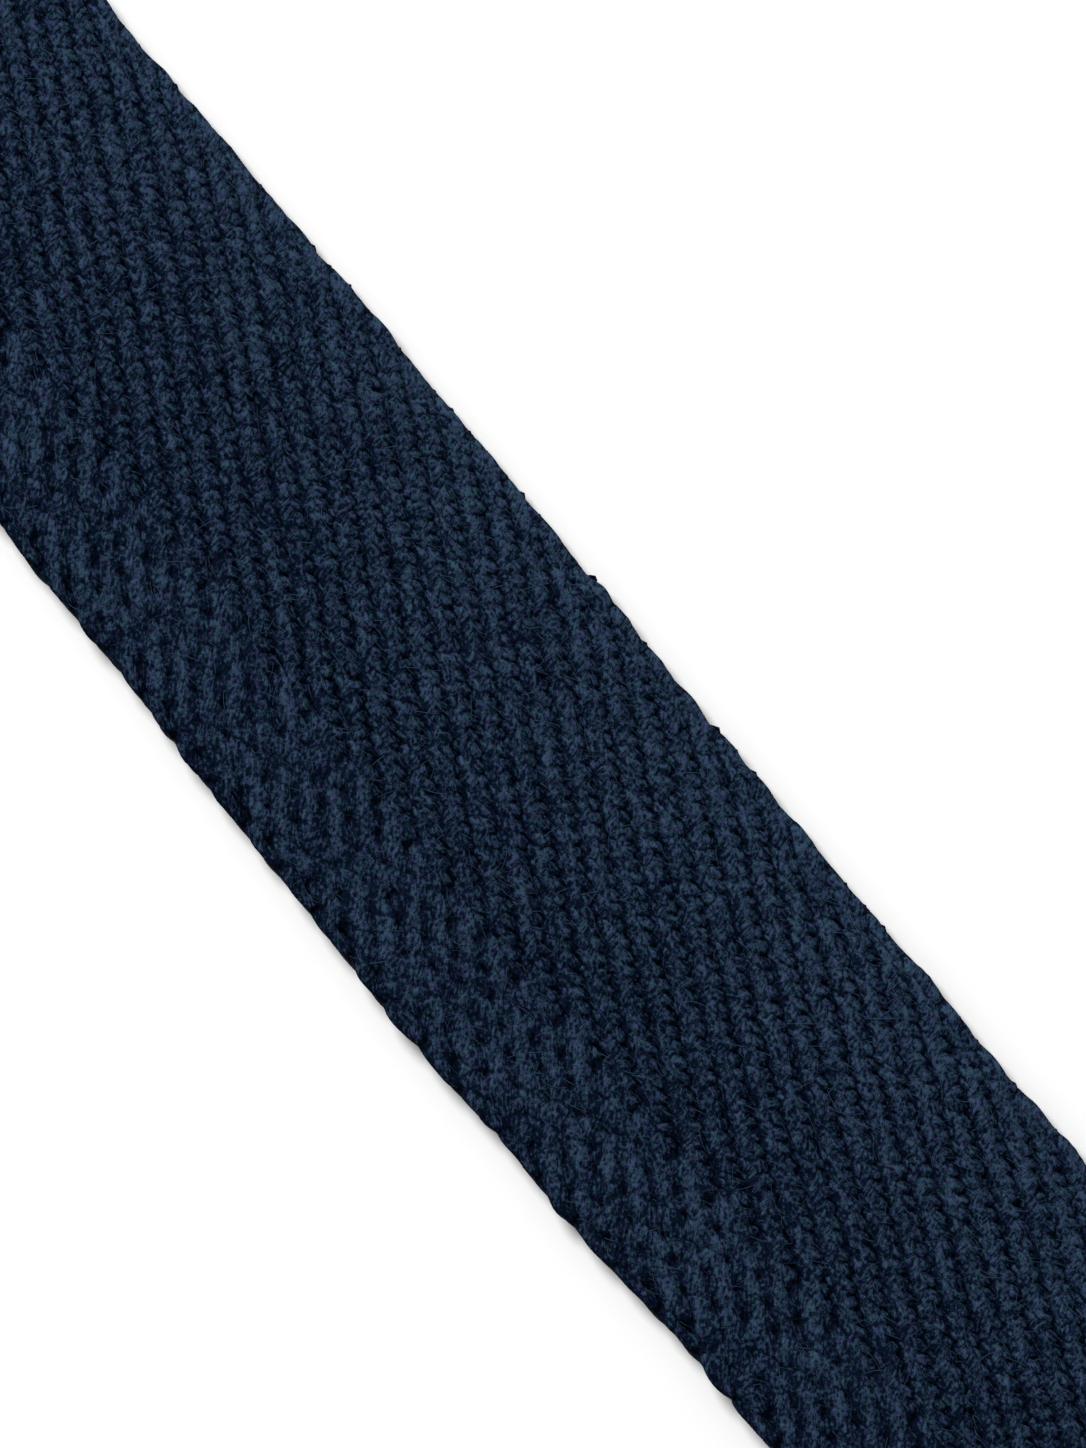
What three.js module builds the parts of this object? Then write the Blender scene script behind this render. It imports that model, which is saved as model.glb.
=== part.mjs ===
// A cut length of woven hem tape, lying flat.
//
// It is one piece of cloth. A twill ground runs to a plain selvedge on its +X side, and
// a bead, woven double and so wider and fuller than a hem, lies along its -X side.
// Millimetres, +Z up and +Y along the tape. The origin is on the surface that the tape
// lies on, under the middle of its box.
import * as THREE from "three";

// Driving dimensions
const CUT_LENGTH = 80; // from one cut end to the other
const WOVEN_WIDTH = 15; // the width it is sold by, from selvedge to selvedge
const GROUND_THICKNESS = 1.0;
const BEAD_WIDTH = 4.4;
const BEAD_THICKNESS = 1.3;
const BEAD_FLATNESS = 0.6; // 1 is an ellipse, and less has a flatter crown
const BEAD_UNDERCUT = 0.5; // how far in from its edge the bead meets the surface
const SELVEDGE_ROUND = 0.35; // how far in the plain selvedge is rounded over

// The bead edge is drawn in at both ends and bows out once, a little off the middle.
const BOW = { drawnIn: 0.61, out: 0.8, centre: -5.8, reach: 19.4 };

// The plain edge is nearly straight, with one long shallow wave.
const PLAIN_EDGE = { out: 0.1, swing: 0.06, centre: 13, length: 50 };

// Both edges waver a little besides, the bead's the more, as the weft pulled them.
const WAVERS = [
  { length: 9.8, bead: 0.045, plain: 0.015, start: 4.6 },
  { length: 8.0, bead: 0.03, plain: 0.02, start: 1.0 },
];

// The upper face is a little uneven, as cloth off a card is: two low crossed waves.
const UNEVEN = [
  { along: 37, across: 24, swing: 0.035, start: 0.6 },
  { along: 12, across: -9, swing: 0.025, start: 2.1 },
];

// How finely the faces are stepped
const SPANS = 41; // along the tape
const BEAD_STEPS = 10; // over the bead's crown
const BEAD_SIDE_STEPS = 2; // round its edge to the surface
const GROUND_STEPS = 7; // across the twill
const SELVEDGE_STEPS = 4; // over the plain selvedge

const TAPE_COLOUR = 0x16202f;
const TAPE_ROUGHNESS = 0.92;

function waver(y, edge) {
  let out = 0;
  for (const wave of WAVERS) {
    out += wave[edge] * Math.sin((2 * Math.PI * y) / wave.length + wave.start);
  }
  return out;
}

function beadEdge(y) {
  const fromBow = (y - BOW.centre) / BOW.reach;
  const bow = BOW.out * Math.exp(-fromBow * fromBow) - BOW.drawnIn;
  return -(WOVEN_WIDTH / 2 + bow + waver(y, "bead"));
}

function plainEdge(y) {
  const turn = (2 * Math.PI * (y - PLAIN_EDGE.centre)) / PLAIN_EDGE.length;
  const bow = PLAIN_EDGE.out + PLAIN_EDGE.swing * Math.cos(turn);
  return WOVEN_WIDTH / 2 + bow + waver(y, "plain");
}

function unevenness(x, y) {
  let rise = 0;
  for (const wave of UNEVEN) {
    rise += wave.swing * Math.sin(2 * Math.PI * (y / wave.along + x / wave.across) + wave.start);
  }
  return rise;
}

// One cross-section, as x and z pairs that go round anticlockwise seen from -Y: along
// the underside, over the selvedge, back across the twill, over the bead and down.
function crossSection(y) {
  const left = beadEdge(y);
  const right = plainEdge(y);
  const junction = left + BEAD_WIDTH;
  const ring = [];

  ring.push([left + BEAD_UNDERCUT, 0]);
  const halfGround = GROUND_THICKNESS / 2;
  for (let step = 0; step <= SELVEDGE_STEPS; step++) {
    const angle = Math.PI * (step / SELVEDGE_STEPS - 0.5);
    ring.push([right - SELVEDGE_ROUND * (1 - Math.cos(angle)), halfGround * (1 + Math.sin(angle))]);
  }

  const groundWidth = right - SELVEDGE_ROUND - junction;
  for (let step = 1; step < GROUND_STEPS; step++) {
    ring.push([right - SELVEDGE_ROUND - (groundWidth * step) / GROUND_STEPS, GROUND_THICKNESS]);
  }

  const halfBead = BEAD_THICKNESS / 2;
  for (let step = 0; step <= BEAD_STEPS; step++) {
    const angle = (Math.PI * step) / BEAD_STEPS;
    const crown = Math.max(0, Math.sin(angle)) ** BEAD_FLATNESS;
    ring.push([left + (BEAD_WIDTH / 2) * (1 + Math.cos(angle)), halfBead * (1 + crown)]);
  }
  for (let step = 1; step < BEAD_SIDE_STEPS; step++) {
    const angle = ((Math.PI / 2) * step) / BEAD_SIDE_STEPS;
    ring.push([left + BEAD_UNDERCUT * (1 - Math.cos(angle)), halfBead * (1 - Math.sin(angle))]);
  }

  // The underside stays flat, and the rest rises and falls with the height it has.
  return ring.map(([x, z]) => [x, z * (1 + unevenness(x, y) / GROUND_THICKNESS)]);
}

// The tape is its cross-sections joined along Y, with a flat cut end at each end.
function tapeGeometry() {
  const corners = [];
  const faces = [];
  const firstRing = crossSection(-CUT_LENGTH / 2);
  const lastRing = crossSection(CUT_LENGTH / 2);
  const around = firstRing.length;

  for (let span = 0; span <= SPANS; span++) {
    const y = CUT_LENGTH * (span / SPANS - 0.5);
    for (const [x, z] of crossSection(y)) {
      corners.push(x, y, z);
    }
  }

  for (let span = 0; span < SPANS; span++) {
    for (let point = 0; point < around; point++) {
      const next = (point + 1) % around;
      const near = span * around;
      const far = near + around;
      faces.push(near + point, far + next, near + next);
      faces.push(near + point, far + point, far + next);
    }
  }

  const outline = (ring) => ring.map(([x, z]) => new THREE.Vector2(x, z));
  for (const [a, b, c] of THREE.ShapeUtils.triangulateShape(outline(firstRing), [])) {
    faces.push(a, b, c);
  }
  const lastStart = SPANS * around;
  for (const [a, b, c] of THREE.ShapeUtils.triangulateShape(outline(lastRing), [])) {
    faces.push(lastStart + a, lastStart + c, lastStart + b);
  }

  const geometry = new THREE.BufferGeometry();
  geometry.setAttribute("position", new THREE.Float32BufferAttribute(corners, 3));
  geometry.setIndex(faces);

  // The two edges differ, so the box is brought back to the middle.
  geometry.computeBoundingBox();
  const middle = (geometry.boundingBox.min.x + geometry.boundingBox.max.x) / 2;
  geometry.translate(-middle, 0, 0);
  geometry.computeVertexNormals();
  return geometry;
}

const cloth = new THREE.MeshStandardMaterial({
  color: TAPE_COLOUR,
  roughness: TAPE_ROUGHNESS,
  metalness: 0,
});

const tape = new THREE.Mesh(tapeGeometry(), cloth);
tape.name = "hem_tape";

const hemTapeLength = new THREE.Group();
hemTapeLength.add(tape);

export default hemTapeLength;
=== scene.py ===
import math
import random

import bpy
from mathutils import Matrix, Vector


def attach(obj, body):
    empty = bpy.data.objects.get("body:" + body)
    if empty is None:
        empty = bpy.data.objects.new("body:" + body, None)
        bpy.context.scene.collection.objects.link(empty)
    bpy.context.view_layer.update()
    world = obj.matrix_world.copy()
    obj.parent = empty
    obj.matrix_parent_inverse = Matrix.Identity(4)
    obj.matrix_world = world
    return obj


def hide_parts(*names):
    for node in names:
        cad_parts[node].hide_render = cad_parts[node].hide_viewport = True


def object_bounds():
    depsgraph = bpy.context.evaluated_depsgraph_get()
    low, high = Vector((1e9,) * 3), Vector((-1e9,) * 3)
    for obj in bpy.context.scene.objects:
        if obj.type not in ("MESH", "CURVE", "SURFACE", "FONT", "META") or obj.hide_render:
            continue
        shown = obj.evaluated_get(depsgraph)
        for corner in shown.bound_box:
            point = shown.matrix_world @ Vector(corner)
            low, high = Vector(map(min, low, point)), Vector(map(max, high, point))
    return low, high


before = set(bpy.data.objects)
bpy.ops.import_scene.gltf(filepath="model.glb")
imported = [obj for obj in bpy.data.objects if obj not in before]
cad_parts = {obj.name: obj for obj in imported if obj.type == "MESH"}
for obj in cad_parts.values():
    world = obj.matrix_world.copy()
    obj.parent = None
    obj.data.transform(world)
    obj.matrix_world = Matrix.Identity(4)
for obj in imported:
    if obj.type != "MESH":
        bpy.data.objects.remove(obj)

cad_low, cad_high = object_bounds()
MM = 0.001

# Twill ground
# Forty-two soft ends of spun navy staple, each over three picks and under one, stepping one
# end to the right and one pick up at a time. They pack so close that each leans on the next.
CUT_LENGTH = cad_high.y - cad_low.y
WOVEN_WIDTH = 15 * MM
BEAD_WIDTH = 4.4 * MM

# The outline is the solid's: the bead edge bows out once, the plain edge is nearly
# straight, and both waver a little. One slub swells the plain edge besides.
BOW = {"drawn_in": 0.61 * MM, "out": 0.80 * MM, "centre": -5.8 * MM, "reach": 19.4 * MM}
PLAIN_EDGE = {"out": 0.10 * MM, "swing": 0.06 * MM, "centre": 13 * MM, "length": 50 * MM}
WAVERS = [
    {"length": 9.8 * MM, "bead": 0.045 * MM, "plain": 0.015 * MM, "start": 4.6},
    {"length": 8.0 * MM, "bead": 0.03 * MM, "plain": 0.02 * MM, "start": 1.0},
]
SLUB = {"at": 2.6 * MM, "out": 0.13 * MM, "notch_at": 3.5 * MM, "notch": 0.09 * MM, "reach": 0.4 * MM}
OUTLINE_STEPS = 400


def waver(y, edge):
    return sum(w[edge] * math.sin(math.tau * y / w["length"] + w["start"]) for w in WAVERS)


def bead_edge_from_middle(y):
    from_bow = (y - BOW["centre"]) / BOW["reach"]
    bow = BOW["out"] * math.exp(-from_bow * from_bow) - BOW["drawn_in"]
    return -(WOVEN_WIDTH / 2 + bow + waver(y, "bead"))


def plain_edge_from_middle(y):
    turn = math.tau * (y - PLAIN_EDGE["centre"]) / PLAIN_EDGE["length"]
    bow = PLAIN_EDGE["out"] + PLAIN_EDGE["swing"] * math.cos(turn)
    return WOVEN_WIDTH / 2 + bow + waver(y, "plain")


# The solid's box is centred, so the outline is moved across by as much.
across_shift = cad_high.x - max(
    plain_edge_from_middle(cad_low.y + CUT_LENGTH * step / OUTLINE_STEPS) for step in range(OUTLINE_STEPS + 1)
)


def bead_edge(y):
    return bead_edge_from_middle(y) + across_shift


def plain_edge(y):
    """The plain selvedge. The slub in its last end swells it and draws it in beyond."""
    swell = SLUB["out"] * math.exp(-((y - SLUB["at"]) / SLUB["reach"]) ** 2)
    draw_in = SLUB["notch"] * math.exp(-((y - SLUB["notch_at"]) / SLUB["reach"]) ** 2)
    return plain_edge_from_middle(y) + across_shift + swell - draw_in


# The picks lie from the lower cut end up. They open out downwards, slope down to the
# right, more so over the bead, and none is quite straight or in its place.
PICK_GAP = {"middle": 0.495 * MM, "change": 0.033 * MM, "over": 20 * MM}
PICK_SLOPE = {"middle": 0.058, "change": 0.0007 / MM, "kept": 26 * MM, "gone": 38 * MM}
BEAD_SLOPE = 0.045
PICK_UNEVEN = {"place": 0.022 * MM, "wave": 0.022 * MM, "shortest": 1.2 * MM, "longest": 5 * MM}

draw = random.Random(15)

pick_places = []
y = cad_low.y + PICK_GAP["middle"] / 2
while y < cad_high.y - PICK_GAP["middle"] / 4:
    pick_places.append(y)
    y += PICK_GAP["middle"] - PICK_GAP["change"] * math.tanh(y / PICK_GAP["over"])
PICKS = len(pick_places)
pick_places = [y + draw.gauss(0, PICK_UNEVEN["place"]) for y in pick_places]


def waves(amount, shortest, longest, number=3):
    """A few sine waves of random lengths, which make one smooth uneven line."""
    return [(amount, draw.uniform(shortest, longest), draw.uniform(0, math.tau)) for _ in range(number)]


def sway(made, place):
    return sum(amount * math.sin(math.tau * place / length + start) for amount, length, start in made)


pick_waves = [
    waves(PICK_UNEVEN["wave"], PICK_UNEVEN["shortest"], PICK_UNEVEN["longest"]) for _ in range(PICKS)
]


def along_at(pick, x):
    """Where a pick, or a place between two, crosses x."""
    low = min(max(int(math.floor(pick)), 0), PICKS - 2)
    below = pick_places[low] + sway(pick_waves[low], x)
    above = pick_places[low + 1] + sway(pick_waves[low + 1], x)
    y = below + (pick - low) * (above - below)
    fade = min(max((PICK_SLOPE["gone"] - abs(y)) / (PICK_SLOPE["gone"] - PICK_SLOPE["kept"]), 0), 1)
    over_bead = max(0.0, bead_edge(y) + BEAD_WIDTH - x)
    return y + fade * (over_bead * BEAD_SLOPE - x * (PICK_SLOPE["middle"] + PICK_SLOPE["change"] * y))


class Rails:
    """Centrelines of yarns: points joined in runs, with what each point knows."""

    # lit_and_worn is each point's tone: wear, with painted highlight and painted shade.
    KNOWN = ("thick", "tilt", "lit_and_worn", "turns", "yarn")

    def __init__(self):
        self.points = []
        self.edges = []
        self.known = {title: [] for title in self.KNOWN}

    def add(self, run, number):
        """run is (place, thickness, tilt, tone with its painted light and shade, turns of twist) for each
        point.
        """
        first = len(self.points)
        for place, *values in run:
            self.points.append(place)
            for title, value in zip(self.KNOWN, (*values, number)):
                self.known[title].append(value)
        self.edges += [(n, n + 1) for n in range(first, len(self.points) - 1)]

    def mesh(self, name):
        mesh = bpy.data.meshes.new(name)
        mesh.from_pydata(self.points, self.edges, [])
        for title, values in self.known.items():
            layer = mesh.attributes.new(title, "FLOAT", "POINT")
            layer.data.foreach_set("value", values)
        return mesh


def socket_input(tree, title, kind, default=None):
    made = tree.interface.new_socket(name=title, in_out="INPUT", socket_type=kind)
    if default is not None:
        made.default_value = default
    return made.identifier


def join(tree, *pairs):
    for source, target in pairs:
        tree.links.new(source, target)


def maths(tree, operation, *values):
    node = tree.nodes.new("ShaderNodeMath")
    node.operation = operation
    for slot, value in enumerate(values):
        if isinstance(value, (int, float)):
            node.inputs[slot].default_value = value
        else:
            tree.links.new(value, node.inputs[slot])
    return node.outputs[0]


def named(tree, title):
    node = tree.nodes.new("GeometryNodeInputNamedAttribute")
    node.data_type = "FLOAT"
    node.inputs["Name"].default_value = title
    return node.outputs["Attribute"]


def stored(tree, geometry, title, kind, value):
    node = tree.nodes.new("GeometryNodeStoreNamedAttribute")
    node.data_type = kind
    node.domain = "POINT"
    node.inputs["Name"].default_value = title
    join(tree, (geometry, node.inputs["Geometry"]), (value, node.inputs["Value"]))
    return node.outputs["Geometry"]


# Every yarn is two plies twisted together. One tree sweeps the flattened, twisted yarn
# along its centreline. Its sides crowd on top, where it shows. Its colour is painted lightest
# a little to the right of its top and darker down its flanks: painted light and shade.
# YARN_APART keeps two yarns' fibres from lining up.
CROWDED_ON_TOP = 0.45
TOP_LIGHT_AT = 1.1
YARN_APART = 11.7

spinning = bpy.data.node_groups.new("spin_yarn", "GeometryNodeTree")
spinning.is_modifier = True
socket_input(spinning, "Rails", "NodeSocketGeometry")
SPIN = {
    "width": socket_input(spinning, "Width", "NodeSocketFloat", 0.3 * MM),
    "height": socket_input(spinning, "Height", "NodeSocketFloat", 0.3 * MM),
    "sides": socket_input(spinning, "Sides", "NodeSocketInt", 8),
    "ply_depth": socket_input(spinning, "Ply Depth", "NodeSocketFloat", 0.2),
    "finish": socket_input(spinning, "Finish", "NodeSocketMaterial"),
}
spinning.interface.new_socket(name="Yarn", in_out="OUTPUT", socket_type="NodeSocketGeometry")


def build_spinning(tree):
    new = tree.nodes.new
    given = new("NodeGroupInput").outputs
    to_curve = new("GeometryNodeMeshToCurve")
    upright = new("GeometryNodeSetCurveNormal")
    upright.mode = "Z_UP"
    tilt = new("GeometryNodeSetCurveTilt")
    join(
        tree,
        (given["Rails"], to_curve.inputs["Mesh"]),
        (to_curve.outputs["Curve"], upright.inputs["Curve"]),
        (upright.outputs["Curve"], tilt.inputs["Curve"]),
        (named(tree, "tilt"), tilt.inputs["Tilt"]),
    )

    # What the swept surface has to know of its centreline: how far along, and where.
    rail = new("GeometryNodeCaptureAttribute")
    rail.capture_items.new("FLOAT", "Along")
    rail.capture_items.new("VECTOR", "Middle")
    along = new("GeometryNodeSplineParameter")
    place = new("GeometryNodeInputPosition")
    join(
        tree,
        (tilt.outputs["Curve"], rail.inputs["Geometry"]),
        (along.outputs["Length"], rail.inputs["Along"]),
        (place.outputs["Position"], rail.inputs["Middle"]),
    )

    # The section is an oval whose sides are shorter on top. It is swept with its own Y
    # downwards, so its top is at minus a quarter turn.
    section = new("GeometryNodeCurvePrimitiveCircle")
    way_round = new("GeometryNodeSplineParameter")
    evenly = maths(tree, "MULTIPLY", way_round.outputs["Factor"], math.tau)
    crowding = maths(tree, "MULTIPLY", maths(tree, "COSINE", evenly), CROWDED_ON_TOP)
    around = new("GeometryNodeCaptureAttribute")
    around.capture_items.new("FLOAT", "Around")
    half_width = maths(tree, "MULTIPLY", given["Width"], 0.5)
    half_height = maths(tree, "MULTIPLY", given["Height"], 0.5)
    across = maths(tree, "MULTIPLY", maths(tree, "COSINE", around.outputs["Around"]), half_width)
    down = maths(tree, "MULTIPLY", maths(tree, "SINE", around.outputs["Around"]), half_height)
    rim = new("ShaderNodeCombineXYZ")
    flatten = new("GeometryNodeSetPosition")
    join(
        tree,
        (given["Sides"], section.inputs["Resolution"]),
        (section.outputs["Curve"], around.inputs["Geometry"]),
        (maths(tree, "SUBTRACT", evenly, crowding), around.inputs["Around"]),
        (around.outputs["Geometry"], flatten.inputs["Geometry"]),
        (across, rim.inputs["X"]),
        (down, rim.inputs["Y"]),
        (rim.outputs["Vector"], flatten.inputs["Position"]),
    )

    sweep = new("GeometryNodeCurveToMesh")
    sweep.inputs["Fill Caps"].default_value = True
    join(
        tree,
        (rail.outputs["Geometry"], sweep.inputs["Curve"]),
        (flatten.outputs["Geometry"], sweep.inputs["Profile Curve"]),
        (named(tree, "thick"), sweep.inputs["Scale"]),
    )

    # The two plies stand out as a pair of ridges that wind round the yarn.
    turned_by = maths(tree, "MULTIPLY", named(tree, "turns"), math.tau)
    angle = maths(tree, "SUBTRACT", around.outputs["Around"], turned_by)
    ridge = maths(tree, "COSINE", maths(tree, "MULTIPLY", angle, 2.0))
    depth = maths(tree, "MULTIPLY", ridge, given["Ply Depth"])
    out = new("ShaderNodeVectorMath")
    out.operation = "SUBTRACT"
    grow = new("ShaderNodeVectorMath")
    grow.operation = "SCALE"
    surface = new("GeometryNodeInputPosition")
    moved = new("GeometryNodeSetPosition")
    join(
        tree,
        (surface.outputs["Position"], out.inputs[0]),
        (rail.outputs["Middle"], out.inputs[1]),
        (out.outputs["Vector"], grow.inputs[0]),
        (depth, grow.inputs["Scale"]),
        (sweep.outputs["Mesh"], moved.inputs["Geometry"]),
        (grow.outputs["Vector"], moved.inputs["Offset"]),
    )

    # Fibres follow the plies, so the finish is told the angle round the yarn less its twist.
    fibre = new("ShaderNodeCombineXYZ")
    apart = maths(tree, "MULTIPLY", named(tree, "yarn"), YARN_APART)
    in_widths = maths(tree, "DIVIDE", rail.outputs["Along"], given["Width"])
    join(
        tree,
        (maths(tree, "COSINE", angle), fibre.inputs["X"]),
        (maths(tree, "SINE", angle), fibre.inputs["Y"]),
        (maths(tree, "ADD", in_widths, apart), fibre.inputs["Z"]),
    )
    kept = stored(tree, moved.outputs["Geometry"], "fibre", "FLOAT_VECTOR", fibre.outputs["Vector"])
    # Painted light and shade: 1 a little to the right of the yarn's top, -1 low on its other flank.
    top_light_mask = maths(tree, "COSINE", maths(tree, "ADD", around.outputs["Around"], TOP_LIGHT_AT))
    kept = stored(tree, kept, "top_light_mask", "FLOAT", top_light_mask)
    smooth = new("GeometryNodeSetShadeSmooth")
    realize = new("GeometryNodeRealizeInstances")
    finish = new("GeometryNodeSetMaterial")
    result = new("NodeGroupOutput")
    join(
        tree,
        (kept, smooth.inputs["Geometry"]),
        (smooth.outputs["Geometry"], realize.inputs["Geometry"]),
        (realize.outputs["Geometry"], finish.inputs["Geometry"]),
        (given["Finish"], finish.inputs["Material"]),
        (finish.outputs["Geometry"], result.inputs["Yarn"]),
    )


build_spinning(spinning)


def swept(name, rails, finish, **settings):
    """The yarn along these rails, as one plain mesh in an object of its own."""
    guide = bpy.data.objects.new(name + "_rails", rails.mesh(name + "_rails"))
    bpy.context.collection.objects.link(guide)
    modifier = guide.modifiers.new("spin", "NODES")
    modifier.node_group = spinning
    for title, value in settings.items():
        modifier[SPIN[title]] = value
    modifier[SPIN["finish"]] = finish
    bpy.context.view_layer.update()
    mesh = bpy.data.meshes.new_from_object(guide.evaluated_get(bpy.context.evaluated_depsgraph_get()))
    mesh.name = name
    bpy.data.objects.remove(guide)
    piece = bpy.data.objects.new(name, mesh)
    bpy.context.collection.objects.link(piece)
    return piece


# The navy ramp runs from near black, the painted shade between the fibres and in the dips,
# through the dyed navy, to a greyer blue that is partly wear and partly painted highlight on
# the crests. No two fibres took the dye quite alike.
NAVY = {
    "deep": (0.0001, 0.0004, 0.0026, 1),
    "dyed": (0.0023, 0.0064, 0.0182, 1),
    "lit_and_worn": (0.0350, 0.0620, 0.1100, 1),
}
TINTS = {"greener": (0.74, 1.0, 0.86, 1), "redder": (1.0, 0.81, 1.0, 1)}
TINT_FROM, TINT_TO = 0.38, 0.62
TINTS_PER_METRE = 4200.0
STREAKS = {"detail": 3.0, "weight": 1.6}
TUFTS = {"per_metre": 6800.0, "weight": 1.45}
RELIEF = {"streaks": 0.7, "tufts": 0.7, "ply": 0.6}
RELIEF_DEPTH = 0.08 * MM
YARN_ROUGHNESS = 0.7
YARN_SPECULAR = 0.02
NOISE_ROUGHNESS = 0.6


def shade_node(tree, kind, **settings):
    node = tree.nodes.new(kind)
    for title, value in settings.items():
        setattr(node, title, value)
    return node


def blotches(tree, vector, scale, detail=2.0):
    """Soft noise from 0 to 1 on this vector."""
    node = tree.nodes.new("ShaderNodeTexNoise")
    node.inputs["Scale"].default_value = scale
    node.inputs["Detail"].default_value = detail
    node.inputs["Roughness"].default_value = NOISE_ROUGHNESS
    tree.links.new(vector, node.inputs["Vector"])
    return node.outputs["Fac"]


def centred(tree, value, weight):
    """The value less a half, times this weight."""
    return maths(tree, "MULTIPLY", maths(tree, "SUBTRACT", value, 0.5), weight)


def total(tree, first, *rest):
    for value in rest:
        first = maths(tree, "ADD", first, value)
    return first


fibres = bpy.data.node_groups.new("spun_fibres", "ShaderNodeTree")
socket_input(fibres, "Streaks Round", "NodeSocketFloat", 2.2)
socket_input(fibres, "Streaks Along", "NodeSocketFloat", 1.3)
socket_input(fibres, "Groove", "NodeSocketFloat", 0.1)
socket_input(fibres, "Rub", "NodeSocketFloat", 0.0)
socket_input(fibres, "Fleck", "NodeSocketFloat", 1.0)
for title in ("Tone", "Height", "Tint"):
    fibres.interface.new_socket(name=title, in_out="OUTPUT", socket_type="NodeSocketFloat")


def build_fibres(tree):
    given = tree.nodes.new("NodeGroupInput").outputs
    result = tree.nodes.new("NodeGroupOutput").inputs
    fibre = shade_node(tree, "ShaderNodeAttribute", attribute_name="fibre").outputs["Vector"]
    # Each yarn point's tone: wear, with painted light and shade.
    lit_and_worn = shade_node(tree, "ShaderNodeAttribute", attribute_name="lit_and_worn").outputs["Fac"]
    top_light_mask = shade_node(tree, "ShaderNodeAttribute", attribute_name="top_light_mask").outputs["Fac"]
    place = tree.nodes.new("ShaderNodeTexCoord").outputs["Object"]

    # Streaks run with the fibres.
    stretch = tree.nodes.new("ShaderNodeCombineXYZ")
    drawn = shade_node(tree, "ShaderNodeVectorMath", operation="MULTIPLY")
    join(
        tree,
        (given["Streaks Round"], stretch.inputs["X"]),
        (given["Streaks Round"], stretch.inputs["Y"]),
        (given["Streaks Along"], stretch.inputs["Z"]),
        (fibre, drawn.inputs[0]),
        (stretch.outputs["Vector"], drawn.inputs[1]),
    )
    streaks = blotches(tree, drawn.outputs["Vector"], 1.0, STREAKS["detail"])
    drawn_out = maths(tree, "MULTIPLY", centred(tree, streaks, STREAKS["weight"]), given["Fleck"])

    # Two plies leave a groove on each side of the yarn. The grooves are painted darker, as
    # shade, and the ply crests lighter, as painted light; the same pattern also goes into the bump.
    parts = tree.nodes.new("ShaderNodeSeparateXYZ")
    join(tree, (fibre, parts.inputs["Vector"]))
    across = maths(tree, "MULTIPLY", parts.outputs["X"], parts.outputs["X"])
    up = maths(tree, "MULTIPLY", parts.outputs["Y"], parts.outputs["Y"])
    ply = maths(tree, "MULTIPLY", maths(tree, "SUBTRACT", across, up), given["Groove"])

    # Tufts and thin places that no yarn keeps, a fraction of a millimetre across.
    tufts = blotches(tree, place, TUFTS["per_metre"])
    tufts = maths(tree, "MULTIPLY", centred(tree, tufts, TUFTS["weight"]), given["Fleck"])

    # Painted light and shade round each yarn: lighter on top, darker on its flanks.
    rub = maths(tree, "MULTIPLY", top_light_mask, given["Rub"])
    tone = total(tree, lit_and_worn, rub, drawn_out, tufts, ply)
    height = total(
        tree,
        maths(tree, "MULTIPLY", drawn_out, RELIEF["streaks"]),
        maths(tree, "MULTIPLY", tufts, RELIEF["tufts"]),
        maths(tree, "MULTIPLY", ply, RELIEF["ply"]),
    )
    tint = blotches(tree, place, TINTS_PER_METRE)
    join(tree, (tone, result["Tone"]), (height, result["Height"]), (tint, result["Tint"]))


build_fibres(fibres)


def navy_yarn(name, **values):
    """The finish of one kind of yarn, with the group's values that are its own."""
    finish = bpy.data.materials.new(name)
    finish.use_nodes = True
    tree = finish.node_tree
    shader = tree.nodes["Principled BSDF"]
    shader.inputs["Roughness"].default_value = YARN_ROUGHNESS
    shader.inputs["Specular IOR Level"].default_value = YARN_SPECULAR
    spun = tree.nodes.new("ShaderNodeGroup")
    spun.node_tree = fibres
    for title, value in values.items():
        spun.inputs[title.replace("_", " ").title()].default_value = value
    colours = tree.nodes.new("ShaderNodeValToRGB")
    ramp = colours.color_ramp
    ramp.elements[0].position = 0.0
    ramp.elements[0].color = NAVY["deep"]
    ramp.elements[1].position = 1.0
    ramp.elements[1].color = NAVY["lit_and_worn"]
    ramp.elements.new(0.5).color = NAVY["dyed"]
    tints = tree.nodes.new("ShaderNodeValToRGB")
    tints.color_ramp.elements[0].position = TINT_FROM
    tints.color_ramp.elements[0].color = TINTS["greener"]
    tints.color_ramp.elements[1].position = TINT_TO
    tints.color_ramp.elements[1].color = TINTS["redder"]
    tinted = shade_node(tree, "ShaderNodeMix", data_type="RGBA", blend_type="MULTIPLY")
    tinted.inputs["Factor"].default_value = 1.0
    first_colour, second_colour, mixed_colour = tinted.inputs[6], tinted.inputs[7], tinted.outputs[2]
    bump = tree.nodes.new("ShaderNodeBump")
    bump.inputs["Strength"].default_value = 1.0
    bump.inputs["Distance"].default_value = RELIEF_DEPTH
    join(
        tree,
        (spun.outputs["Tone"], colours.inputs["Fac"]),
        (spun.outputs["Tint"], tints.inputs["Fac"]),
        (colours.outputs["Color"], first_colour),
        (tints.outputs["Color"], second_colour),
        (mixed_colour, shader.inputs["Base Color"]),
        (spun.outputs["Height"], bump.inputs["Height"]),
        (bump.outputs["Normal"], shader.inputs["Normal"]),
    )
    return finish


warp_finish = navy_yarn("navy_warp", streaks_round=2.0, streaks_along=2.1, groove=0.05, rub=0.34)

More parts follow.
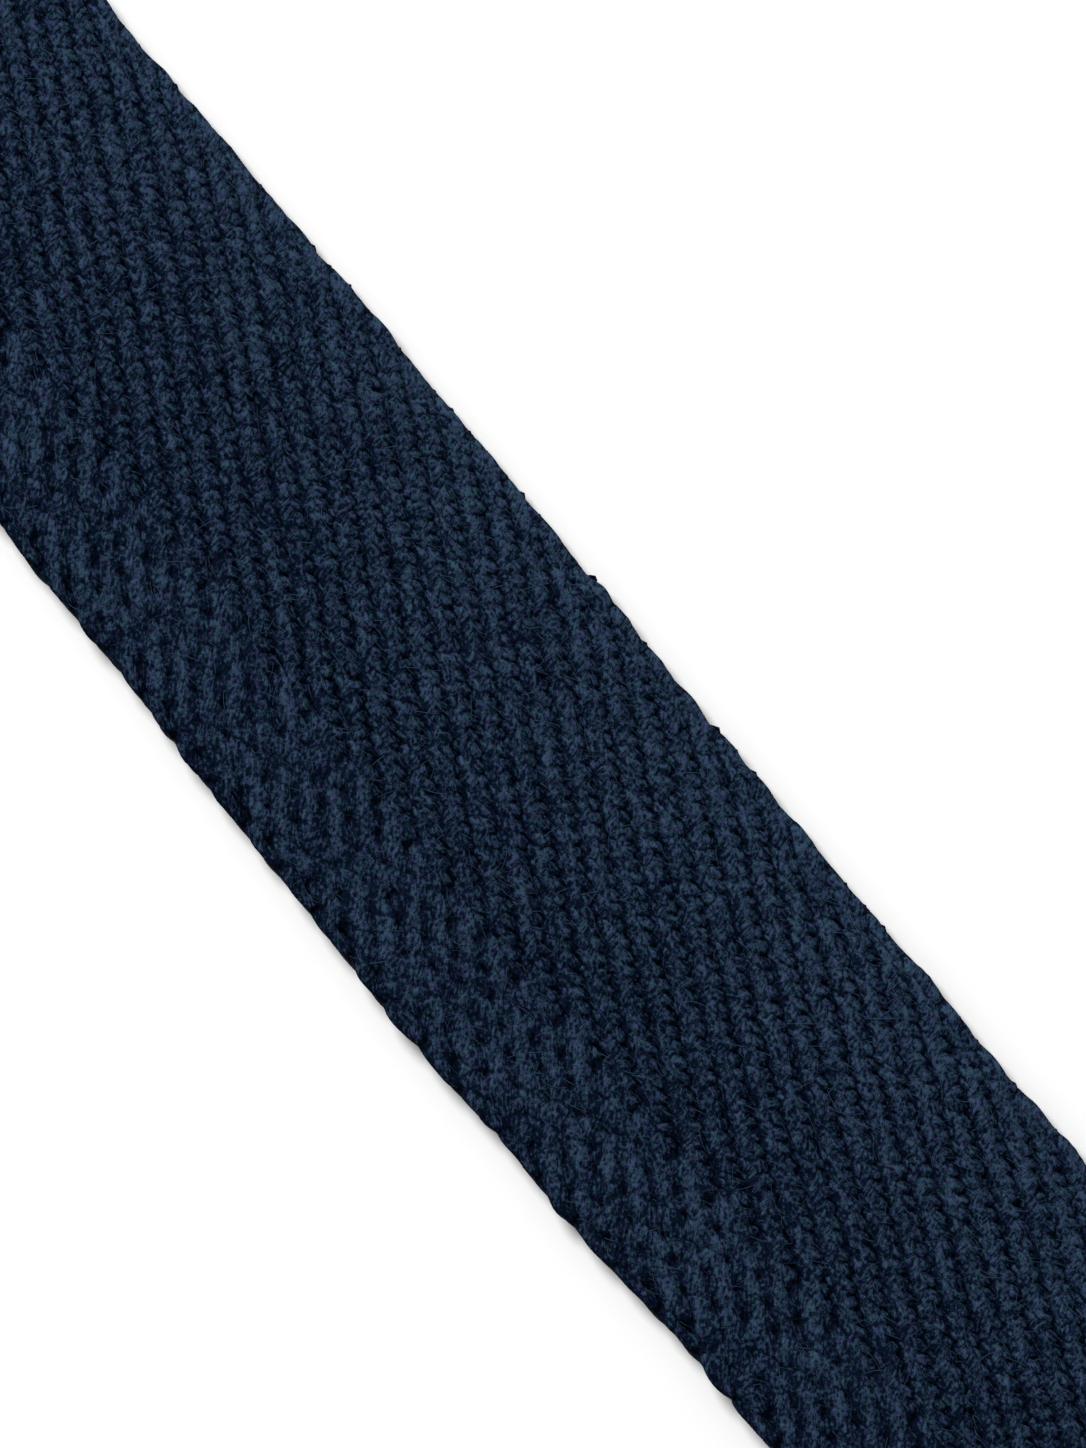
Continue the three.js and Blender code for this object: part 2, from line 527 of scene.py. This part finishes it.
# The path of an end repeats every four picks: it dips under one and floats over three.
# Each float slants, from over its left neighbour to over its right one. Its colour is painted
# darkest in its dips, as shade, and lighter in a broad band about each dip, centred a little
# below it, as a highlight. It is a little lighter towards the plain selvedge.
WEAVE_REPEAT = 4
GROUND_ENDS = 42
GROUND_MIDDLE = 0.47 * MM
END = {
    "width": 0.61 * MM,
    "height": 0.56 * MM,
    "rise": 0.178 * MM,
    "dip": 0.32,
    "dip_skew": 0.19,
    "lean": 0.777,
    "late": 0.377,
    "turns": 0.3,
    "first_turn": 0.19,
}
# A base tone, a slope across the tape, a painted highlight on each float and painted shade in its dips.
END_LIGHT_AND_WEAR = {
    "all_over": 0.31,
    "to_selvedge": 0.12,
    "highlight": 0.20,
    "highlight_at": -0.19,
    "highlight_reach": 1.08,
    "dip": 0.72,
    "dip_shade_reach": 0.40,
}
END_UNEVEN = {
    "across": 0.032 * MM,
    "up": 0.028 * MM,
    "thick": 0.09,
    "lean": 0.22,
    "tone": 0.04,
    "drift": 0.012 * MM,
    "turns": 0.2,
}
END_DRIFT = {"shortest": 0.9 * MM, "longest": 4.0 * MM}
END_TWIST = {"shortest": 2.0 * MM, "longest": 9.0 * MM}
DRIFT_WAVES = 4
THICK_DRIFT = 0.02
SPARE_FLOATS = 2
GROUND_PLY = 0.03
GROUND_SIDES = 7
GROUND_PIECES = 3
STEPS_PER_PICK = 5
END_PACKING = 0.04
SELVEDGE_INSET = 0.18 * MM
CUT_RAGGED = 0.12 * MM

# The weft holds the last ends of the selvedge, so they lean less.
EDGE_LEAN = {GROUND_ENDS - 1: 0.15, GROUND_ENDS - 2: 0.45, GROUND_ENDS - 3: 0.75}


def ground_across(share, y):
    """How far across the tape a share of the ground lies: its ends pack to the right."""
    packed = share + END_PACKING * share * (1 - share)
    left = bead_edge(y) + BEAD_WIDTH
    return left + packed * (plain_edge(y) - SELVEDGE_INSET - left)


def uneven_floats(uneven, number):
    """How each of an end's floats differs from the next."""
    return [
        {
            "across": draw.gauss(0, uneven["across"]),
            "up": draw.gauss(0, uneven["up"]),
            "thick": draw.gauss(0, uneven["thick"]),
            "lean": draw.gauss(1, uneven["lean"]),
            "tone": draw.gauss(0, uneven["tone"]),
        }
        for _ in range(number)
    ]


def on_float(picks):
    """How many picks a place is from the nearest dip, below it or above, and how far it is
    on its float: 0 in a dip and 1 halfway between two."""
    since_dip = picks % WEAVE_REPEAT
    away = since_dip if since_dip < WEAVE_REPEAT / 2 else since_dip - WEAVE_REPEAT
    return away, math.sin(math.pi * since_dip / WEAVE_REPEAT) ** 2


def ground_end(end):
    """The centreline of one end, from one cut to the other."""
    run = []
    share = (end + 0.5) / GROUND_ENDS
    spacing = (WOVEN_WIDTH - BEAD_WIDTH) / GROUND_ENDS
    low = cad_low.y + draw.uniform(0, CUT_RAGGED)
    high = cad_high.y - draw.uniform(0, CUT_RAGGED)
    drift = waves(1.0, END_DRIFT["shortest"], END_DRIFT["longest"], DRIFT_WAVES)
    twist = waves(END_UNEVEN["turns"], END_TWIST["shortest"], END_TWIST["longest"])
    floats_below = GROUND_ENDS // WEAVE_REPEAT + SPARE_FLOATS
    floats = uneven_floats(END_UNEVEN, PICKS // WEAVE_REPEAT + floats_below + SPARE_FLOATS)
    for step in range(-STEPS_PER_PICK, (PICKS + 1) * STEPS_PER_PICK):
        pick = step / STEPS_PER_PICK
        x = ground_across(share, along_at(pick, 0))
        y = along_at(pick, x)
        if not low < y < high:
            continue
        this = floats[int((pick - end) // WEAVE_REPEAT) + floats_below]
        away, own = on_float(pick - end)
        reach = END["dip"] * (1 + math.copysign(END["dip_skew"], away))
        dip = math.exp(-(away / reach) ** 2)
        swing = math.sin(math.tau * away / WEAVE_REPEAT - END["late"])
        sideways = -EDGE_LEAN.get(end, 1) * END["lean"] * spacing * swing * (1 + own * (this["lean"] - 1))
        sideways += own * this["across"] + END_UNEVEN["drift"] * sway(drift, y)
        rise = END["rise"] * (1 - 2 * dip) + own * this["up"]
        thick = 1 + own * this["thick"] + THICK_DRIFT * sway(drift, y)
        # Painted highlight in a broad band about each dip, and painted shade in the dip itself.
        highlight = math.exp(-((away - END_LIGHT_AND_WEAR["highlight_at"]) / END_LIGHT_AND_WEAR["highlight_reach"]) ** 2)
        dip_shade = math.exp(-(away / END_LIGHT_AND_WEAR["dip_shade_reach"]) ** 2)
        tone = END_LIGHT_AND_WEAR["all_over"] + END_LIGHT_AND_WEAR["to_selvedge"] * (share - 0.5)
        tone += END_LIGHT_AND_WEAR["highlight"] * highlight - END_LIGHT_AND_WEAR["dip"] * dip_shade + own * this["tone"]
        turns = END["turns"] * (pick - end) + END["first_turn"] + sway(twist, y)
        z = max(GROUND_MIDDLE + rise, thick * (1 + GROUND_PLY) * END["height"] / 2)
        run.append(((x + sideways, y, z), thick, 0.0, tone, turns))
    return run


def dress(piece):
    """Each woven piece moves with the tape."""
    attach(piece, "root")


for third in range(GROUND_PIECES):
    rails = Rails()
    for end in range(third * GROUND_ENDS // GROUND_PIECES, (third + 1) * GROUND_ENDS // GROUND_PIECES):
        rails.add(ground_end(end), end)
    dress(swept(
        f"ground_ends_{third + 1}", rails, warp_finish,
        width=END["width"], height=END["height"], sides=GROUND_SIDES, ply_depth=GROUND_PLY,
    ))

# Bead
# Eighteen ends of the same yarn, wider and flatter, woven round as a flat tube. Each goes
# over three picks and under one, halfway between its neighbours, as bricks are laid.
BEAD_ENDS = 18
BEAD_SKIN = 0.24 * MM
BEAD_HALF = 0.27 * MM
BEAD_MIDDLE = 0.56 * MM
BEAD_SHOULDER = {"reach": 0.7 * MM, "drop": 0.20 * MM}
BEAD_END = {
    "width": 0.86 * MM,
    "height": 0.42 * MM,
    "rise": 0.09 * MM,
    "dip": 0.62,
    "lean": 0.07 * MM,
    "late": 0.4,
}
BEAD_UNEVEN = {
    "across": 0.04 * MM,
    "up": 0.03 * MM,
    "thick": 0.07,
    "lean": 0.4,
    "tone": 0.05,
    "drift": 0.022 * MM,
}
BEAD_DRIFT = {"shortest": 1.5 * MM, "longest": 5.0 * MM}
# The bead's ends are painted darker in their dips, as shade.
BEAD_SHADE_AND_WEAR = {"all_over": 0.48, "dip": 0.58, "dip_shade_reach": 0.40}
BEAD_TURNS = 0.17
BEAD_PLY = 0.05
BEAD_SIDES = 10
BEAD_STEPS_PER_PICK = 3

# The tube's skin goes from its junction with the ground over the face, round the edge and
# back underneath.
BEAD_FLAT = BEAD_WIDTH - BEAD_SKIN - BEAD_HALF
BEAD_ROUND = math.pi * BEAD_HALF
BEAD_GIRTH = 2 * BEAD_FLAT + BEAD_ROUND

bead_finish = navy_yarn("navy_bead", streaks_round=3.0, streaks_along=3.3, groove=0.1, rub=0.16, fleck=1.0)


def bead_point(s, out, y):
    """The place s round the tube from its junction, this far out from its middle skin,
    and the angle at which the skin lies there."""
    left = bead_edge(y)
    half = BEAD_HALF + out
    if s < BEAD_FLAT:
        shoulder = max(0.0, 1 - s / BEAD_SHOULDER["reach"])
        drop = BEAD_SHOULDER["drop"] * shoulder * shoulder
        return left + BEAD_WIDTH - s, BEAD_MIDDLE + half - drop, 0.0
    centre = left + BEAD_SKIN + BEAD_HALF
    if s < BEAD_FLAT + BEAD_ROUND:
        turn = (s - BEAD_FLAT) / BEAD_HALF
        return centre - half * math.sin(turn), BEAD_MIDDLE + half * math.cos(turn), turn
    return centre + s - BEAD_FLAT - BEAD_ROUND, BEAD_MIDDLE - half, math.pi


def bead_end(number):
    """The centreline of one end round the tube, from one cut to the other."""
    run = []
    s = (number + 0.5) * BEAD_GIRTH / BEAD_ENDS
    low = cad_low.y + draw.uniform(0, CUT_RAGGED)
    high = cad_high.y - draw.uniform(0, CUT_RAGGED)
    drift = waves(1.0, BEAD_DRIFT["shortest"], BEAD_DRIFT["longest"], DRIFT_WAVES)
    floats = uneven_floats(BEAD_UNEVEN, PICKS // WEAVE_REPEAT + 2 * SPARE_FLOATS)
    first_dip = WEAVE_REPEAT // 2 * (number % 2)
    for step in range(-BEAD_STEPS_PER_PICK, (PICKS + 1) * BEAD_STEPS_PER_PICK):
        pick = step / BEAD_STEPS_PER_PICK
        y = along_at(pick, bead_point(s, 0, along_at(pick, 0))[0])
        if not low < y < high:
            continue
        this = floats[int((pick - first_dip) // WEAVE_REPEAT) + SPARE_FLOATS]
        away, own = on_float(pick - first_dip)
        dip = math.exp(-(away / BEAD_END["dip"]) ** 2)
        swing = math.sin(math.tau * away / WEAVE_REPEAT - BEAD_END["late"]) * (1 + own * (this["lean"] - 1))
        sideways = BEAD_END["lean"] * swing - own * this["across"] + BEAD_UNEVEN["drift"] * sway(drift, y)
        out = BEAD_END["rise"] * (1 - 2 * dip) + own * this["up"]
        x, z, turn = bead_point(s + sideways, out, y)
        thick = 1 + own * this["thick"] + THICK_DRIFT * sway(drift, y)
        below = math.hypot(BEAD_END["width"] * math.sin(turn), BEAD_END["height"] * math.cos(turn)) / 2
        z = max(z, thick * (1 + BEAD_PLY) * below)
        turns = BEAD_TURNS * pick + YARN_APART * number
        # Painted shade in each dip.
        dip_shade = math.exp(-(away / BEAD_SHADE_AND_WEAR["dip_shade_reach"]) ** 2)
        tone = BEAD_SHADE_AND_WEAR["all_over"] - BEAD_SHADE_AND_WEAR["dip"] * dip_shade + own * this["tone"]
        run.append(((x, y, z), thick, turn, tone, turns))
    return run


rails = Rails()
for number in range(BEAD_ENDS):
    rails.add(bead_end(number), number)
dress(swept(
    "bead_ends", rails, bead_finish,
    width=BEAD_END["width"], height=BEAD_END["height"], sides=BEAD_SIDES, ply_depth=BEAD_PLY,
))

# Weft
# One thinner thread of the same staple goes to and fro for the whole length. It crosses
# the ground, goes round the bead from face to back, returns, and turns at the selvedge.
# The weft is painted near black, as shade, where it lies deep between the ends.
WEFT = {
    "thick": 0.18 * MM,
    "uneven": 0.08,
    "rise": -0.014 * MM,
    "rise_reach": 0.8,
    "lit_and_worn": -0.1,
    "turns": 0.15,
}
WEFT_TURN = {"in": 0.06 * MM, "bulge": 0.17 * MM, "uneven": 0.04 * MM, "thick": 0.9}
WEFT_PLY = 0.1
WEFT_SIDES = 5
WEFT_PIECES = 2
WEFT_BEAD_STEPS = 30
WEFT_TURN_STEPS = (0.25, 0.5, 0.75)


def weft_across_ground(pick, leftwards):
    """The weft from the plain selvedge to the bead's junction, or back."""
    run = []
    for step in range(GROUND_ENDS + 1):
        share = 1 - step / GROUND_ENDS if leftwards else step / GROUND_ENDS
        x = ground_across(share, along_at(pick, 0))
        y = along_at(pick, x)
        end = share * GROUND_ENDS - 0.5
        over = (end - pick + WEAVE_REPEAT / 2) % WEAVE_REPEAT - WEAVE_REPEAT / 2
        rise = WEFT["rise"] * (2 * math.exp(-(over / WEFT["rise_reach"]) ** 2) - 1)
        thick = 1 + WEFT["uneven"] * draw.uniform(-1, 1)
        run.append(((x, y, GROUND_MIDDLE + rise), thick, 0.0, WEFT["lit_and_worn"], WEFT["turns"] * step))
    return run


def weft_round_bead(pick):
    """The weft from the junction over the bead's face, round its edge and along its back."""
    run = []
    for step in range(1, WEFT_BEAD_STEPS):
        s = BEAD_GIRTH * step / WEFT_BEAD_STEPS
        y = along_at(pick, bead_point(s, 0, along_at(pick, 0))[0])
        x, z, _ = bead_point(s, 0.0, y)
        run.append(((x, y, z), 1.0, 0.0, WEFT["lit_and_worn"], WEFT["turns"] * step))
    return run


def weft_turn(pick):
    """The weft's loop at the plain selvedge, from this pick to the next."""
    run = []
    bulge = WEFT_TURN["bulge"] + draw.gauss(0, WEFT_TURN["uneven"])
    for share in WEFT_TURN_STEPS:
        y = along_at(pick + share, plain_edge(0))
        x = plain_edge(y) - SELVEDGE_INSET - WEFT_TURN["in"] + bulge * math.sin(math.pi * share)
        run.append(((x, y, GROUND_MIDDLE), WEFT_TURN["thick"], 0.0, WEFT["lit_and_worn"], share))
    return run


def whole_pairs(picks):
    return picks // 2 * 2


for half in range(WEFT_PIECES):
    rails = Rails()
    run = []
    first_pick = whole_pairs(half * PICKS // WEFT_PIECES)
    for pick in range(first_pick, whole_pairs((half + 1) * PICKS // WEFT_PIECES), 2):
        run += weft_across_ground(pick, True)
        run += weft_round_bead(pick)
        run += weft_across_ground(pick + 1, False)
        run += weft_turn(pick + 1)
    rails.add(run, half)
    dress(swept(
        f"weft_{half + 1}", rails, warp_finish,
        width=WEFT["thick"], height=WEFT["thick"], sides=WEFT_SIDES, ply_depth=WEFT_PLY,
    ))

# Surface hair
# Short fibre ends that the spinning left out of the yarns. They lie loose over the face,
# most of them roughly along the tape, and are painted paler than the yarns they come from,
# as a painted highlight.
HAIR = {
    "number": 2600,
    "thick": 0.032 * MM,
    "shortest": 0.35 * MM,
    "longest": 1.3 * MM,
    "arch": 0.05 * MM,
    "least_highlight": 0.45,
    "most_highlight": 1.05,
}
HAIR_STEPS = 4
HAIR_SIDES = 3
HAIR_LEAN = {"usual": math.radians(105), "spread": math.radians(34), "curl": 1.1}
HAIR_LEVEL = {"ground": 0.90 * MM, "bead": 1.06 * MM, "uneven": 0.06 * MM}
HAIR_IN = 0.25 * MM

hair_finish = navy_yarn("navy_hair", streaks_round=0.5, streaks_along=0.3, groove=0.0, fleck=0.5)


def face_level(x, y):
    """The height of the woven face's crests here."""
    s = bead_edge(y) + BEAD_WIDTH - x
    if s < 0:
        return HAIR_LEVEL["ground"]
    shoulder = max(0.0, 1 - s / BEAD_SHOULDER["reach"])
    level = HAIR_LEVEL["bead"] - BEAD_SHOULDER["drop"] * shoulder * shoulder
    edge = BEAD_SKIN + BEAD_HALF
    over = max(0.0, edge - (x - bead_edge(y)))
    return level - edge + math.sqrt(max(edge * edge - over * over, 0))


def hair():
    """The curled centreline of one hair."""
    y = draw.uniform(cad_low.y + HAIR_IN, cad_high.y - HAIR_IN)
    x = draw.uniform(bead_edge(y) + HAIR_IN, plain_edge(y) - HAIR_IN)
    length = draw.uniform(HAIR["shortest"], HAIR["longest"])
    heading = draw.gauss(HAIR_LEAN["usual"], HAIR_LEAN["spread"])
    curl = draw.uniform(-HAIR_LEAN["curl"], HAIR_LEAN["curl"])
    level = draw.gauss(0, HAIR_LEVEL["uneven"])
    # Each hair's paleness is a painted highlight.
    tone = draw.uniform(HAIR["least_highlight"], HAIR["most_highlight"])
    run = []
    for step in range(HAIR_STEPS + 1):
        share = step / HAIR_STEPS
        z = face_level(x, y) + level + HAIR["arch"] * (2 * math.sin(math.pi * share) - 1)
        run.append(((x, y, z), 1.0, 0.0, tone, 0.0))
        x += math.cos(heading) * length / HAIR_STEPS
        y += math.sin(heading) * length / HAIR_STEPS
        heading += curl / HAIR_STEPS
        x = min(max(x, bead_edge(y) + HAIR_IN / 2), plain_edge(y) - HAIR_IN / 2)
        y = min(max(y, cad_low.y), cad_high.y)
    return run


rails = Rails()
for number in range(HAIR["number"]):
    rails.add(hair(), number)
dress(swept(
    "surface_hair", rails, hair_finish,
    width=HAIR["thick"], height=HAIR["thick"], sides=HAIR_SIDES, ply_depth=0.0,
))

# The cloth's body
# The tape itself, as a thin sheet inside its yarns. It has the same outline and bead, and
# is what shows dark between them: it carries none of the yarns' tone, so its finish gives it
# the near-black end of the ramp, painted shade in the gaps. The yarns woven through it go with it.
BODY_IN = {"edge": 0.35 * MM, "cut": 0.4 * MM}
BODY = {"low": 0.28 * MM, "ground": 0.42 * MM, "bead": 0.72 * MM}
BODY_STEPS = {"along": 80, "across": 24}


def body_top(x, y):
    s = bead_edge(y) + BEAD_WIDTH - x
    if s < 0:
        return BODY["ground"]
    rise = min(s / BEAD_SHOULDER["reach"], 1)
    return BODY["ground"] + (BODY["bead"] - BODY["ground"]) * rise


body_points = []
body_faces = []
columns = BODY_STEPS["across"] + 1
for level in ("low", "top"):
    for row in range(BODY_STEPS["along"] + 1):
        y = cad_low.y + BODY_IN["cut"] + (CUT_LENGTH - 2 * BODY_IN["cut"]) * row / BODY_STEPS["along"]
        left = bead_edge(y) + BODY_IN["edge"]
        right = plain_edge(y) - BODY_IN["edge"]
        for column in range(columns):
            x = left + (right - left) * column / BODY_STEPS["across"]
            body_points.append((x, y, BODY["low"] if level == "low" else body_top(x, y)))
level_size = columns * (BODY_STEPS["along"] + 1)
for row in range(BODY_STEPS["along"]):
    for column in range(BODY_STEPS["across"]):
        a = row * columns + column
        b, c, d = a + 1, a + columns + 1, a + columns
        body_faces.append((a, d, c, b))
        body_faces.append((a + level_size, b + level_size, c + level_size, d + level_size))

# Its wall goes once round the rim: the lower cut, the plain edge, the upper cut, the bead.
rim = list(range(columns))
rim += [row * columns + columns - 1 for row in range(1, BODY_STEPS["along"] + 1)]
rim += [BODY_STEPS["along"] * columns + column for column in range(columns - 2, -1, -1)]
rim += [row * columns for row in range(BODY_STEPS["along"] - 1, 0, -1)]
for place, a in enumerate(rim):
    b = rim[(place + 1) % len(rim)]
    body_faces.append((a, b, b + level_size, a + level_size))

body_mesh = bpy.data.meshes.new("cloth_body")
body_mesh.from_pydata(body_points, [], body_faces)
body_mesh.materials.append(warp_finish)
body = bpy.data.objects.new("cloth_body", body_mesh)
bpy.context.collection.objects.link(body)
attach(body, "root")
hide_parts("hem_tape")

# Floor and light
# A plain pale table under an even white studio light, with one large soft lamp beyond the
# tape's upper end, so that its shadow falls along the lower left edge.
FLOOR_REACH = 2.0
FLOOR_COLOUR = (0.9, 0.9, 0.9, 1)
FLOOR_ROUGHNESS = 0.9
STUDIO_STRENGTH = 0.40
KEY = {"size": 0.45, "energy": 12, "place": (0.06, 0.70, 0.80)}

floor_mesh = bpy.data.meshes.new("floor")
floor_corners = [(-1, -1), (1, -1), (1, 1), (-1, 1)]
floor_mesh.from_pydata([(x * FLOOR_REACH, y * FLOOR_REACH, 0) for x, y in floor_corners], [], [(0, 1, 2, 3)])
floor = bpy.data.objects.new("floor", floor_mesh)
bpy.context.collection.objects.link(floor)
floor_finish = bpy.data.materials.new("pale_floor")
floor_finish.use_nodes = True
floor_shader = floor_finish.node_tree.nodes["Principled BSDF"]
floor_shader.inputs["Base Color"].default_value = FLOOR_COLOUR
floor_shader.inputs["Roughness"].default_value = FLOOR_ROUGHNESS
floor_mesh.materials.append(floor_finish)

world = bpy.data.worlds.new("studio")
world.use_nodes = True
background = world.node_tree.nodes["Background"]
background.inputs["Color"].default_value = (1, 1, 1, 1)
background.inputs["Strength"].default_value = STUDIO_STRENGTH
bpy.context.scene.world = world

key_data = bpy.data.lights.new("key", "AREA")
key_data.shape = "DISK"
key_data.size = KEY["size"]
key_data.energy = KEY["energy"]
key = bpy.data.objects.new("key", key_data)
key.location = KEY["place"]
key.rotation_euler = (-key.location).to_track_quat("-Z", "Y").to_euler()
bpy.context.collection.objects.link(key)
bpy.context.scene.view_settings.view_transform = "Standard"

# Camera
# Half a metre straight above the tape, through a long lens. It is turned so that the
# tape runs from the picture's top left to its bottom right, as it was photographed.
PICTURE_HEIGHT = 51.0 * MM
CAMERA_HEIGHT = 0.5
CAMERA_TURN = math.radians(-40.1)
CENTRE_IN_FROM_PLAIN_EDGE = 4.72 * MM

camera_data = bpy.data.cameras.new("camera")
camera_data.sensor_width = 36.0
camera_data.lens = camera_data.sensor_width * CAMERA_HEIGHT / PICTURE_HEIGHT
camera_data.clip_start = 0.01
camera_data.clip_end = 10.0
camera = bpy.data.objects.new("camera", camera_data)
camera.location = (cad_high.x - CENTRE_IN_FROM_PLAIN_EDGE, 0, CAMERA_HEIGHT)
camera.rotation_euler = (0, 0, CAMERA_TURN)
bpy.context.collection.objects.link(camera)
bpy.context.scene.camera = camera
